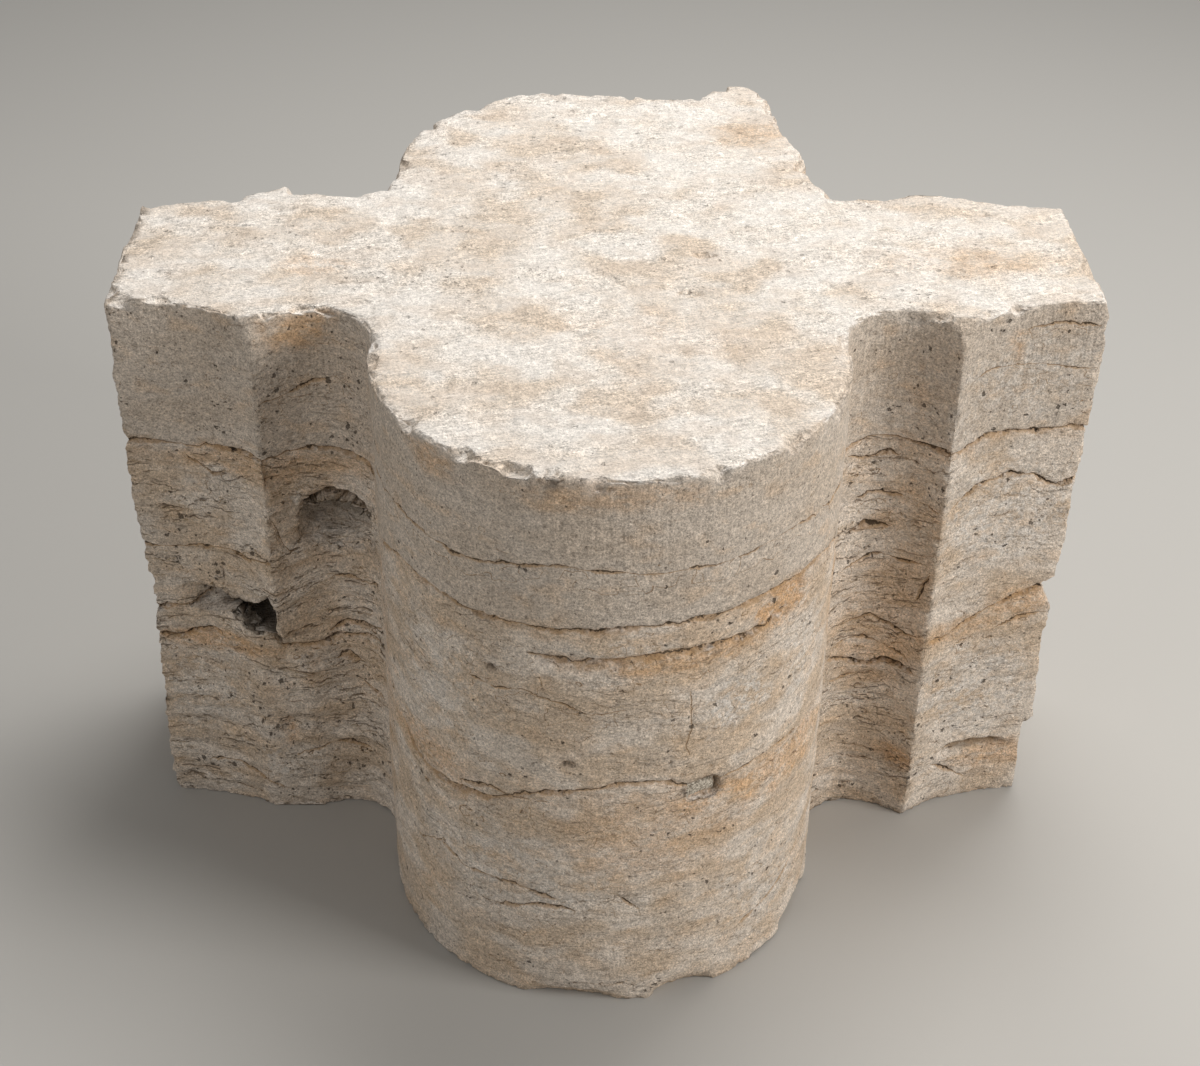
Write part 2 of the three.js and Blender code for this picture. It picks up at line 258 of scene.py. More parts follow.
# The sixteen directions of the gradients that the noise is made from
GRADIENTS = np.array(
    [[1, 1, 0], [-1, 1, 0], [1, -1, 0], [-1, -1, 0], [1, 0, 1], [-1, 0, 1], [1, 0, -1], [-1, 0, -1],
     [0, 1, 1], [0, -1, 1], [0, 1, -1], [0, -1, -1], [1, 1, 0], [-1, 1, 0], [0, -1, 1], [0, -1, -1]],
    np.float32,
)
PRIMES = (np.uint32(73856093), np.uint32(19349663), np.uint32(83492791))


def scramble(number):
    """Turns whole numbers into other, unrelated ones."""
    number = (number ^ (number >> np.uint32(15))) * np.uint32(2246822519)
    number = (number ^ (number >> np.uint32(13))) * np.uint32(3266489917)
    return number ^ (number >> np.uint32(16))


def cell_key(cell, seed):
    """One unrelated whole number for each cell of a lattice."""
    whole = cell.astype(np.int64).astype(np.uint32)
    mixed = whole[:, 0] * PRIMES[0] ^ whole[:, 1] * PRIMES[1] ^ whole[:, 2] * PRIMES[2]
    return scramble(mixed ^ np.uint32(seed * 7919 + SEED))


def noise(points, seed):
    """Gradient noise, from about -1 to 1, with features one unit apart."""
    base = np.floor(points)
    part = (points - base).astype(np.float32)
    ease = part * part * part * (part * (part * 6 - 15) + 10)
    total = np.zeros(len(points), np.float32)
    for corner in itertools.product((0, 1), repeat=3):
        weight = np.float32(1)
        for axis in range(3):
            weight = weight * (ease[:, axis] if corner[axis] else 1 - ease[:, axis])
        gradient = GRADIENTS[cell_key(base + np.array(corner), seed) & np.uint32(15)]
        total += weight * (gradient * (part - np.array(corner, np.float32))).sum(1)
    return total


def layered(points, seed, octaves):
    """Noise with finer and fainter noise added on top."""
    total = np.zeros(len(points), np.float32)
    for octave in range(octaves):
        total += noise(points * 2.03**octave + 17.3 * octave, seed + octave) / 2**octave
    return total


def pore_gap(points, seed, spacing, chance):
    """How far each point is from the nearest pore, where 1 is its rim. A cell has one pore or none."""
    scaled = points / spacing
    base = np.floor(scaled - 0.5)
    nearest = np.full(len(points), 3.0, np.float32)
    for corner in itertools.product((0, 1), repeat=3):
        cell = base + np.array(corner)
        key = cell_key(cell, seed)
        bytes_of_key = [(key >> np.uint32(bit)) & np.uint32(255) for bit in (0, 8, 16, 24)]
        part = [byte.astype(np.float32) / 255 for byte in bytes_of_key]
        centre = cell + 0.5 + 0.5 * (np.stack(part[:3], 1) - 0.5)
        radius = 0.1 + 0.22 * part[3] ** 2
        gap = np.linalg.norm(scaled - centre, axis=1) / radius
        there = scramble(key) % np.uint32(1000) < chance * 1000
        nearest = np.minimum(nearest, np.where(there, gap, 3.0))
    return nearest


def outline_ring():
    """The outline of the plan, cut through the solid above its cavities, as points in mm in order."""
    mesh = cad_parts[DRUM_NODE].data
    level = LOW.z + PLAN_CUT_AT * (HIGH.z - LOW.z)
    ends = {}
    for polygon in mesh.polygons:
        cut = []
        corners = [mesh.vertices[i].co for i in polygon.vertices]
        for a, b in zip(corners, corners[1:] + corners[:1]):
            if (a.z > level) != (b.z > level):
                point = a.lerp(b, (level - a.z) / (b.z - a.z))
                cut.append((round(point.x / MM, 2), round(point.y / MM, 2)))
        if len(cut) == 2 and cut[0] != cut[1]:
            for here, there in (cut, cut[::-1]):
                ends.setdefault(here, []).append(there)
    start = min(ends, key=lambda p: (p[1], abs(p[0])))
    ring = [start]
    ahead = max(ends[start], key=lambda p: p[0])
    while ahead != start and len(ring) < len(ends):
        ring.append(ahead)
        ahead = [p for p in ends[ring[-1]] if p != ring[-2]][0]
    return np.array(ring)


class Outline:
    """The outline of the plan, which gives each point its place round the drum."""

    def __init__(self):
        ring = outline_ring()
        closed = np.vstack([ring, ring[:1]])
        places = np.concatenate([[0], np.cumsum(np.linalg.norm(np.diff(closed, axis=0), axis=1))])
        self.length = places[-1]
        self.even = np.arange(0, self.length, 0.5)
        dense = np.stack([np.interp(self.even, places, closed[:, axis]) for axis in (0, 1)], 1)
        self.tree = KDTree(len(dense))
        for i, (x, y) in enumerate(dense):
            self.tree.insert((x, y, 0), i)
        self.tree.balance()
        self.dense = dense.astype(np.float32)
        ahead = np.roll(dense, -1, axis=0) - np.roll(dense, 1, axis=0)
        into = np.stack([-ahead[:, 1], ahead[:, 0]], 1)
        self.into = (into / np.linalg.norm(into, axis=1, keepdims=True)).astype(np.float32)

    def place(self, points):
        """How far round the outline each point is from the front of the column, in mm, the nearest point
        on the outline, and the way into the stone from there."""
        find = self.tree.find
        nearest = np.array([find((x, y, 0))[1] for x, y in points[:, :2].tolist()])
        far = self.even[nearest]
        along = np.where(far > self.length / 2, far - self.length, far).astype(np.float32)
        return along, self.dense[nearest], self.into[nearest]


class Skin:
    """The points of the stone's mesh in mm, and what the stone is like at each of them."""

    def __init__(self, mesh, outline):
        count = len(mesh.vertices)
        flat = np.zeros(count * 3, np.float32)
        mesh.vertices.foreach_get("co", flat)
        self.points = flat.reshape(-1, 3) / MM
        mesh.vertex_normals.foreach_get("vector", flat)
        self.normals = flat.reshape(-1, 3).copy()
        self.edges = np.zeros(len(mesh.edges) * 2, np.int32)
        mesh.edges.foreach_get("vertices", self.edges)
        self.edges = self.edges.reshape(-1, 2)
        self.along, self.face_point, self.into = outline.place(self.points)
        self.height = self.points[:, 2]
        self.face = np.stack([self.along, np.zeros(count), self.height], 1)  # the upright faces, unrolled

        # The height along the wavy beds of the stone
        wave = 9 * noise(self.points / np.array([85, 85, 150]), 1)
        wave += 4 * noise(self.points / np.array([38, 38, 55]), 2)
        self.bedded = self.points + np.outer(wave, [0, 0, 1])

        # Which way each point faces, and whether it is on a broken face
        self.up = smooth(0.6, 0.9, self.normals[:, 2])
        self.down = smooth(0.6, 0.9, -self.normals[:, 2])
        self.upright = 1 - np.maximum(self.up, self.down)
        end = smooth(0.6, 0.9, np.abs(self.normals[:, 0])) * smooth(298, 306, np.abs(self.points[:, 0]))
        self.broken = self.upright * np.maximum(end, smooth(252, 264, self.points[:, 1]))
        self.inward = np.linalg.norm(self.points[:, :2] - self.face_point, axis=1)
        below_top = smooth(20, 40, self.height) * (1 - smooth(300, 320, self.height))
        self.hollowed = smooth(2.5, 7, self.inward) * below_top

        # How rough the weather has left the stone: the left arm most, and the hard upper bed least
        main = np.array(MAIN_BED, float)
        self.above = smooth(-1.5, 1.5, self.height - np.interp(self.along, *main.T))
        arm = smooth(COLUMN_SIDE, COLUMN_SIDE + 30, np.abs(self.along))
        left = smooth(-10, 10, -self.along)
        hollow = arm * (1 - smooth(350, 360, np.abs(self.along)))
        self.rough = (0.4 + arm * 0.55 * left + 0.3 * hollow) * (1 - 0.7 * self.above)
        self.pitted = 0.25 + arm * (0.2 + 0.5 * left) + 0.2 * hollow

    def smoothed(self, points, times):
        """The points, each moved halfway to the middle of its neighbours, a number of times over."""
        a, b = self.edges[:, 0], self.edges[:, 1]
        count = len(points)
        degree = np.bincount(self.edges.ravel(), minlength=count)[:, None]
        for _ in range(times):
            total = [
                np.bincount(a, points[b, axis], count) + np.bincount(b, points[a, axis], count)
                for axis in range(3)
            ]
            points = (0.5 * points + 0.5 * np.stack(total, 1) / degree).astype(np.float32)
        return points


def bed_sets():
    """The number of each opened bed's set. Beds that lie close together are in different sets."""
    chosen = []
    for i, bed in enumerate(BEDS):
        line = np.array(bed.line, float)
        near = set()
        for other, number in zip(BEDS[:i], chosen):
            theirs = np.array(other.line, float)
            first = max(line[0, 0], theirs[0, 0]) - 10
            last = min(line[-1, 0], theirs[-1, 0]) + 10
            shared = np.arange(first, last, 4)
            gap = np.interp(shared, *line.T) - np.interp(shared, *theirs.T)
            if len(shared) and np.abs(gap).min() < SET_APART:
                near.add(number)
        free = [number for number in range(BED_SETS) if number not in near]
        chosen.append(free[0] if free else i % BED_SETS)
    return chosen


def groove(crack, gap):
    """1 along the middle of a crack, and 0 beside it."""
    return 1 - smooth(0.35 * crack.width, 1.3 * crack.width, np.abs(gap))


def nearer(gaps, crack, gap, opening):
    """The distances, or the new ones where they are smaller. The new ones are turned into half-widths."""
    scaled = np.clip(gap / (0.5 * crack.width * np.maximum(opening, 0.02)), -FAR, FAR)
    return np.where(np.abs(scaled) < np.abs(gaps), scaled, gaps)


def opened_beds(skin):
    """The cracks of the opened beds: their depth, the wear below them and the distance to them.

    The distance has one row for each set of beds and one for the upright cracks. It is signed, and counts
    in half-widths of the crack.
    """
    along, height = skin.along, skin.height
    wander = 2.2 * noise(skin.face / 15, 60) + 1.3 * noise(skin.face / 6, 63)
    gaping = smooth(-0.35, 0.35, noise(skin.face / 16, 61))
    worn_here = 0.6 + 0.9 * noise(skin.face / np.array([25, 1, 8]), 62)
    quiet = 1 - 0.6 * smooth(450, 520, np.abs(along))  # round the back
    depth = np.zeros(len(along), np.float32)
    worn = np.zeros(len(along), np.float32)
    gaps = np.full((BED_SETS + 1, len(along)), FAR, np.float32)
    for bed, number in zip(BEDS, bed_sets()):
        line = np.array(bed.line, float)
        past = np.maximum(line[0, 0] - along, along - line[-1, 0])
        inside = 1 - smooth(-10, 3, past)
        gap = height + wander - np.interp(along, *line.T)
        least = min(0.2 * bed.width, 0.4)
        opening = inside * quiet * (least + (1.1 - least) * gaping)
        depth = np.maximum(depth, bed.depth * groove(bed, gap) * opening)
        below = smooth(0, 1.5, -gap) * (1 - smooth(0.3 * bed.reach, bed.reach, -gap))
        worn = worn + 0.6 * bed.worn * below * worn_here * inside * quiet
        gaps[number] = nearer(gaps[number], bed, gap, opening)
    for crack in UPRIGHT_CRACKS:
        line = np.array(crack.line, float)
        past = np.maximum(line[0, 1] - height, height - line[-1, 1])
        inside = 1 - smooth(-6, 2, past)
        gap = along + wander - np.interp(height, line[:, 1], line[:, 0])
        depth = np.maximum(depth, crack.depth * groove(crack, gap) * inside)
        gaps[-1] = nearer(gaps[-1], crack, gap, inside)
    return depth, worn, gaps


def from_middle(area, across, upward):
    """How far each place is from an oval's middle both ways, in its half-sizes."""
    return (across - area.at[0]) / area.half[0], (upward - area.at[1]) / area.half[1]


def spread(skin, spots, seed):
    """How strongly ragged blotches on the upright faces cover each point."""
    ragged = 0.45 * layered(skin.face / 17, seed, 3)
    total = np.zeros(len(skin.along), np.float32)
    for spot in spots:
        away = np.hypot(*from_middle(spot, skin.along, skin.height)) + ragged
        total = np.maximum(total, spot.strength * (1 - smooth(0.45, 1.15, away)))
    return total


def top_stains(skin):
    """How strongly the faint stains on the top cover each point."""
    ragged = 0.4 * layered(skin.points / 22, 102, 3)
    total = np.zeros(len(skin.along), np.float32)
    for spot in TOP_STAINS:
        away = np.hypot(*((skin.points[:, :2] - spot.at) / spot.half).T)
        total = np.maximum(total, spot.strength * (1 - smooth(0.4, 1.15, away + ragged)))
    return total


def dents(skin):
    """How deep the hollows that are worn or broken into the faces are."""
    ragged = 0.16 * layered(skin.face / 9, 80, 2)
    deep = np.zeros(len(skin.along), np.float32)
    for dent in DENTS:
        across, upward = from_middle(dent, skin.along, skin.height)
        hollow = 1 - smooth(0.86, 1.02, np.hypot(across, upward) + ragged)
        floor = dent.flat + (1 - dent.flat) * smooth(-1.0, 0.7, upward)
        deep = np.maximum(deep, dent.depth * hollow * floor)
    deep = deep * skin.upright
    ragged = 0.3 * layered(skin.points / 7, 84, 2)
    for dent in TOP_DENTS:
        away = np.hypot(*from_middle(dent, skin.points[:, 0], skin.points[:, 1]))
        hollow = 1 - smooth(0.65, 0.95, away + ragged)
        deep = np.maximum(deep, dent.depth * hollow * skin.up)
    return deep


def veins(skin):
    """Short cracks along the beds, as a signed number that is 0 on a crack and large away from any."""
    size = np.array([36, 36, 7.5])
    wild = layered(skin.bedded / size, 50, 2)
    rising = smooth(0.05, 0.3, layered((skin.bedded + [0, 0, 3]) / size, 50, 2) - wild)
    patch = smooth(-0.1, 0.3, noise(skin.bedded / np.array([50, 50, 20]), 54))
    return wild / np.maximum(rising * patch * smooth(0.1, 0.9, skin.rough), 0.02)


def large_pores(skin):
    """How far each point is inside a larger pore. They are thick in some beds and rare in others."""
    crowd = smooth(-0.2, 0.25, noise(skin.bedded / np.array([60, 60, 22]), 70))
    gap = pore_gap(skin.bedded * np.array([1, 1, 1.3]), 71, 8.5, 0.8)
    return (1 - smooth(0.45, 1.05, gap)) * crowd * smooth(0.2, 0.9, skin.pitted)


def in_socket(skin):
    """How far each point is inside the socket's mortar, which leaves a gap on its right and below."""
    across, upward = from_middle(SOCKET, skin.along, skin.height)
    mortar = smooth(-1.15, -0.9, across) * (1 - smooth(0.74, 0.88, across + 0.12 * upward))
    return mortar * smooth(-0.75, -0.5, upward) * (1 - smooth(0.75, 1.0, upward))


def within(skin, area, inner, outer):
    """1 inside an oval area of the upright faces, and 0 outside it."""
    return 1 - smooth(inner, outer, np.hypot(*from_middle(area, skin.along, skin.height)))


def worn_edges(skin):
    """The points of the skin with the sharp edges worn round and chipped."""
    points = skin.points
    soft = skin.smoothed(points, 4)
    softer = skin.smoothed(soft, 10)
    softest = skin.smoothed(softer, 22)
    convex = smooth(0.15, 0.8, ((points - softer) * skin.normals).sum(1))
    wear = 0.25 + 0.75 * smooth(-0.3, 0.5, layered(points / 24, 20, 2))
    moved = points + (soft - points) * (wear * convex)[:, None]
    bite = layered(points / np.array([9, 9, 8]), 24, 2)
    chips = smooth(0.02, 0.2, bite) * convex
    moved = moved + (softest - moved) * chips[:, None]
    lost = smooth(0.35, 0.6, layered(points / 31, 27, 2)) * convex
    moved = moved + (softest - moved) * lost[:, None]
    for area in SOFT_BREAKS:
        moved = moved + (softest - moved) * (within(skin, area, 0.8, 1.1) * skin.upright)[:, None]
    for area in FILLED:
        moved[:, :2] += (skin.face_point - moved[:, :2]) * within(skin, area, 0.85, 1.0)[:, None]
    return moved


def in_rim_chips(skin, points):
    """How far the points are inside the slanting chips along the rim of the top, in mm."""
    broad = 8.0 * smooth(-0.05, 0.5, layered(skin.face / 26, 28, 2))
    ragged = 1.8 * layered(skin.points / 8, 31, 2)
    size = 2.5 + broad + ragged
    inner = ((points[:, :2] - skin.face_point) * skin.into).sum(1)
    return size - inner - (HIGH.z / MM - points[:, 2])


def without_rim_chips(skin, points):
    """The points with the chips along the rim of the top taken off."""
    off = 0.5 * np.clip(in_rim_chips(skin, points), 0, None)
    return points + np.stack([off * skin.into[:, 0], off * skin.into[:, 1], -off], 1)


def weathered(skin):
    """The points of the skin, worn, cracked, pitted and broken as the stone is."""
    points, bedded, rough = skin.points, skin.bedded, skin.rough
    sunk = 0.5 + 0.8 * layered(points / 80, 30, 2)

    # Beds that stand out or are worn back, with a ledge between them
    wide = noise(bedded / np.array([62, 62, 11]), 34)
    thin = noise(bedded / np.array([30, 30, 5.5]), 35)
    beds = 0.7 * smooth(-0.12, 0.12, wide) + 0.4 * smooth(-0.15, 0.15, thin) + 0.4 * wide
    sunk += skin.upright * 1.5 * rough * beds
    sunk += skin.upright * (0.2 + 0.6 * rough) * layered(points / np.array([11, 11, 6]), 38, 2)
    sunk += skin.upright * skin.hollowed * 1.6 * layered(bedded / np.array([15, 15, 9]), 32, 3)
    cracked = 1 - smooth(0.03, 0.12, np.abs(veins(skin)))
    sunk += 1.5 * cracked * skin.upright

    # Broken ends and the break at the back
    shelf = smooth(-0.1, 0.1, noise(bedded / np.array([34, 34, 12]), 43))
    sunk += skin.broken * (1.3 * layered(bedded / np.array([26, 26, 12]), 40, 3) + 0.9 * shelf)

    # The roughly dressed top
    flakes = smooth(-0.07, 0.07, layered(points / np.array([34, 20, 34]), 47, 2))
    uneven = 0.6 * layered(points / 24, 46, 3) + 0.35 * layered(points / 8, 49, 2)
    sunk += skin.up * (uneven + 0.6 * flakes)

    depth, worn, _ = opened_beds(skin)
    sunk += (depth + worn) * skin.upright
    sunk += dents(skin)

    sunk += 2.4 * large_pores(skin) * (0.35 * skin.up + skin.upright)

    # The mortar stands proud of the floor of its socket
    sunk -= 3.6 * in_socket(skin) * skin.upright

    sunk *= 1 - skin.down
    return without_rim_chips(skin, worn_edges(skin)) - skin.normals * sunk[:, None]


def keep_inside(points):
    """The points, none of them outside the box of the drum's solid."""
    return np.clip(points, np.array(LOW) / MM, np.array(HIGH) / MM)


def fine_skin(sizes):
    """A closed mesh of small faces over the drum's solid."""
    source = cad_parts[DRUM_NODE]
    rough = bpy.data.objects.new("drum_rough", source.data.copy())
    bpy.context.scene.collection.objects.link(rough)
    remesh = rough.modifiers.new("Small faces", "REMESH")
    remesh.mode = "VOXEL"
    remesh.voxel_size = sizes.face_size * 1.0
    evaluated = rough.evaluated_get(bpy.context.evaluated_depsgraph_get())
    mesh = bpy.data.meshes.new_from_object(evaluated)
    bpy.data.objects.remove(rough)
    return mesh


def lighten(stone, skin):
    """Takes out the faces that the stone's shape doesn't need, and more of them round the back."""
    triangles = sum(len(p.vertices) - 2 for p in stone.data.polygons)
    if triangles <= TRIANGLE_LIMIT:
        return
    group = stone.vertex_groups.new(name="plainer")
    plain = (skin.points[:, 1] > 10) & (skin.up < 0.5)
    group.add(np.flatnonzero(plain).tolist(), 1.0, "REPLACE")
    group.add(np.flatnonzero(~plain).tolist(), 0.5, "REPLACE")
    decimate = stone.modifiers.new("Fewer faces", "DECIMATE")
    decimate.ratio = TRIANGLE_LIMIT / triangles
    decimate.vertex_group = group.name
    decimate.vertex_group_factor = 1e-5
    evaluated = stone.evaluated_get(bpy.context.evaluated_depsgraph_get())
    mesh = bpy.data.meshes.new_from_object(evaluated)
    old = stone.data
    stone.modifiers.clear()
    stone.vertex_groups.clear()
    stone.data = mesh
    bpy.data.meshes.remove(old)


def set_points(mesh, points):
    """Moves the mesh's points to places given in mm."""
    mesh.vertices.foreach_set("co", (keep_inside(points) * MM).astype(np.float32).ravel())
    mesh.update()


# Broad patches of the stone: the size of the noise that makes them, along X, Y and Z in mm, and whether
# they follow the beds
PATCHES = {
    "clouds": ((48, 48, 24), True),
    "smoke": ((30, 30, 20), True),
    "rust": ((24, 24, 12), True),
    "lined": ((34, 34, 15), True),
    "crowded": ((26, 26, 13), True),
    "frosted": ((40, 26, 40), False),
    "dusty": ((24, 14, 24), False),
}


def mark(mesh, skin):
    """Stores what the material needs to know about the stone at each vertex, and gives the names."""
    _, worn, gaps = opened_beds(skin)
    values = {f"bed_gap_{number}": gap for number, gap in enumerate(gaps)}
    values["vein"] = veins(skin)
    values["along"] = skin.along * MM
    values["bed_height"] = skin.bedded[:, 2] * MM
    values["rough_stone"] = skin.rough
    values["pitted_stone"] = skin.pitted
    values["grey_bed"] = skin.above * skin.upright
    # The chipped rim counts as top, so it takes the top's paler colour: painted light on the chips, as on
    # the top
    lit_rim_chips = 0.7 * smooth(-1.6, -0.4, in_rim_chips(skin, skin.points)) * (1 - skin.down)
    values["top_face"] = np.maximum(skin.up, lit_rim_chips)
    values["pore"] = large_pores(skin)
    for seed, (name, (sizes, follows)) in enumerate(PATCHES.items(), 110):
        where = skin.bedded if follows else skin.points
        values[name] = layered(where / np.array(sizes), 3 * seed, 3)
    stain = np.maximum(spread(skin, STAINS, 90), 0.25 * smooth(0.3, 1.2, worn))
    values["stain"] = stain * (1 - skin.up) + top_stains(skin) * skin.up
    values["grey_patch"] = spread(skin, GREY_PATCHES, 94) * skin.upright
    # Painted shade deep inside the left arm's cavity, added to the painted shade under the roofs of the
    # hollows, in the deepest breaks and round the socket
    deep = smooth(5, 13, skin.inward) * within(skin, CAVITY, 0.8, 1.0)
    values["grime"] = np.maximum(spread(skin, PAINTED_SHADE_SPOTS, 98) * (1 - skin.up), 0.9 * deep)
    values["mortar"] = in_socket(skin) * skin.upright
    for name, numbers in values.items():
        layer = mesh.attributes.new(name, "FLOAT", "POINT")
        layer.data.foreach_set("value", numbers.astype(np.float32))
    return list(values)


def linear(colour):
    """An sRGB hex colour as linear red, green, blue and alpha."""
    parts = [int(colour[i : i + 2], 16) / 255 for i in (1, 3, 5)]
    return [p / 12.92 if p <= 0.04045 else ((p + 0.055) / 1.055) ** 2.4 for p in parts] + [1.0]


def add(tree, kind, inputs=None, **settings):
    """Adds a node with its settings, and sets or links its inputs."""
    node = tree.nodes.new(kind)
    for name, value in settings.items():
        setattr(node, name, value)
    for key, value in (inputs or {}).items():
        if isinstance(value, bpy.types.NodeSocket):
            tree.links.new(value, node.inputs[key])
        else:
            node.inputs[key].default_value = value
    return node


# The nodes that the stone's material is made of. Each has its type, the inputs that its values go to in
# order, the output that is used, and its settings
NODES = {
    "times": ("ShaderNodeMath", (0, 1), 0, {"operation": "MULTIPLY"}),
    "plus": ("ShaderNodeMath", (0, 1), 0, {"operation": "ADD"}),
    "minus": ("ShaderNodeMath", (0, 1), 0, {"operation": "SUBTRACT"}),
    "most": ("ShaderNodeMath", (0, 1), 0, {"operation": "MAXIMUM"}),
    "unsigned": ("ShaderNodeMath", (0,), 0, {"operation": "ABSOLUTE"}),
    "vector": ("ShaderNodeCombineXYZ", (0, 1, 2), 0, {}),
    "stretch": ("ShaderNodeVectorMath", (0, 1), 0, {"operation": "MULTIPLY"}),
    "shift": ("ShaderNodeVectorMath", (0, 1), 0, {"operation": "ADD"}),
    "apart": ("ShaderNodeVectorMath", (0, 1), 0, {"operation": "SUBTRACT"}),
    "shade": ("ShaderNodeVectorMath", (0, "Scale"), 0, {"operation": "SCALE"}),
    # 0 below the second value, 1 above the third, and a smooth step between them
    "ramp": ("ShaderNodeMapRange", (0, 1, 2), 0, {"interpolation_type": "SMOOTHSTEP"}),
    "blend": ("ShaderNodeMix", (0, 6, 7), 2, {"data_type": "RGBA"}),
}


class StoneGraph:
    """The nodes of the stone's material, and the patterns that they make."""

    def __init__(self, tree, names):
        self.tree = tree
        self.place = add(tree, "ShaderNodeTexCoord").outputs["Object"]
        self.x, self.y, self.z = add(tree, "ShaderNodeSeparateXYZ", {0: self.place}).outputs
        self.stored = {}
        for name in names:
            node = add(tree, "ShaderNodeAttribute", attribute_name=name)
            self.stored[name] = node.outputs["Fac"]
        # The same place with the height taken along the wavy beds
        self.bedded = self.put("vector", self.x, self.y, self.stored["bed_height"])

    def put(self, name, *values):
        """Adds a node of the table. Values beyond its inputs go to more nodes like it, one by one."""
        kind, slots, output, settings = NODES[name]
        inputs = [linear(value) if isinstance(value, str) else value for value in values]
        result = add(self.tree, kind, dict(zip(slots, inputs)), **settings).outputs[output]
        left = values[len(slots):]
        return self.put(name, result, *left) if left else result

    def grain(self, where, sizes, detail, roughness=0.55, distortion=0.0):
        """Noise whose features are that many millimetres across along X, Y and Z."""
        scale = [1 / (size * MM) for size in sizes]
        inputs = {"Scale": 1.0, "Detail": detail, "Roughness": roughness, "Distortion": distortion}
        inputs["Vector"] = self.put("stretch", where, scale)
        return add(self.tree, "ShaderNodeTexNoise", inputs).outputs["Fac"]

    def line(self, value, middle, core, edge):
        """1 where the value is within core of the middle, and 0 beyond edge."""
        away = self.put("unsigned", self.put("minus", value, middle))
        return self.put("ramp", away, edge, core)

    def creases(self, sizes, width):
        """Thin lines along the beds, only on the upper side of a noise's swells, so they don't close up."""
        here = self.grain(self.bedded, sizes, 2, 0.66)
        raised = self.put("shift", self.bedded, (0, 0, 0.25 * sizes[2] * MM))
        above = self.grain(raised, sizes, 2, 0.66)
        rising = self.put("ramp", self.put("minus", above, here), -0.005, 0.035)
        return self.put("times", self.line(here, 0.5, 0.001, width), rising)

    def pits(self, spacing, share):
        """Ragged pits of many sizes, in that share of the cells of a pattern with that spacing in mm."""
        inputs = {"Vector": self.place, "Scale": 2.6 / (spacing * MM), "Detail": 1.0}
        shake = add(self.tree, "ShaderNodeTexNoise", inputs)
        shift = self.put("apart", shake.outputs["Color"], (0.5, 0.5, 0.5))
        shift = self.put("shade", shift, 0.7 * spacing * MM)
        moved = self.put("shift", self.place, shift)
        cells = add(self.tree, "ShaderNodeTexVoronoi", {"Vector": moved, "Scale": 1 / (spacing * MM)})
        chance = add(self.tree, "ShaderNodeSeparateColor", {0: cells.outputs["Color"]}).outputs
        width = self.put("plus", self.put("times", chance[0], chance[0], 0.26), 0.07)
        near = self.put("minus", width, cells.outputs["Distance"])
        there = self.put("ramp", self.put("plus", chance[1], share), 0.98, 1.02)
        return self.put("times", self.put("ramp", near, -0.05, 0.05), there)


